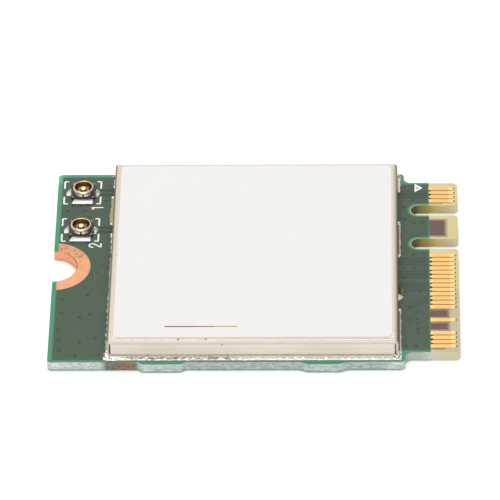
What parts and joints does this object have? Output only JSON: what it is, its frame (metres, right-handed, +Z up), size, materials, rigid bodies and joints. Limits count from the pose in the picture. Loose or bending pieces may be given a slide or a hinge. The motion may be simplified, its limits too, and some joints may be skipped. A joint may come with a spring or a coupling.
{
  "type": "wireless network card",
  "caption": "Small plug-in wireless card: green circuit board with a keyed gold contact edge, a soldered shield can, push-fit antenna jacks and a half-round screw notch.",
  "frame": {"origin": "middle of the card's underside", "axes": "+X along the card towards its contact edge, +Y across the card towards contact number 1, +Z up out of the side that carries the shield can"},
  "size_m": [0.03, 0.0226, 0.0022],
  "materials": {
    "laminate": "glass fibre and epoxy board, pale yellow",
    "green_mask": "green solder mask, satin gloss",
    "gold_plate": "gold plated, smooth",
    "bare_copper": "bare copper plating with a coat against tarnish, slightly stained",
    "nickel_silver": "rolled nickel silver sheet, satin",
    "solder": "solder, dull grey white",
    "label_film": "white polyester label, matt",
    "black_plastic": "moulded black plastic",
    "chip_resin": "moulded black resin, matt",
    "fired_ceramic": "fired white ceramic",
    "tan_ceramic": "fired tan ceramic",
    "ferrite": "dark grey ferrite"
  },
  "bodies": {
    "root": {"circuit_board": "laminate", "solder_mask_top": "green_mask", "solder_mask_bottom": "green_mask", "edge_contacts_top": "gold_plate", "edge_contacts_bottom": "gold_plate", "mounting_land": "bare_copper", "shield_can": "nickel_silver", "shield_solder": "solder", "label": "label_film", "antenna_jack_1_shell": "gold_plate", "antenna_jack_1_contact": "gold_plate", "antenna_jack_1_insulator": "black_plastic", "antenna_jack_2_shell": "gold_plate", "antenna_jack_2_contact": "gold_plate", "antenna_jack_2_insulator": "black_plastic", "antenna_jack_solder": "solder", "radio_chip": "chip_resin", "radio_chip_leads": "solder", "front_end_module_1": "chip_resin", "front_end_module_2": "chip_resin", "front_end_leads": "solder", "crystal_base": "fired_ceramic", "crystal_lid": "nickel_silver", "capacitors": "tan_ceramic", "capacitor_terminals": "solder", "resistors": "chip_resin", "resistor_terminals": "solder", "antenna_filters": "fired_ceramic", "antenna_filter_terminals": "solder", "power_inductor": "ferrite", "power_inductor_terminals": "solder"}
  },
  "joints": []
}
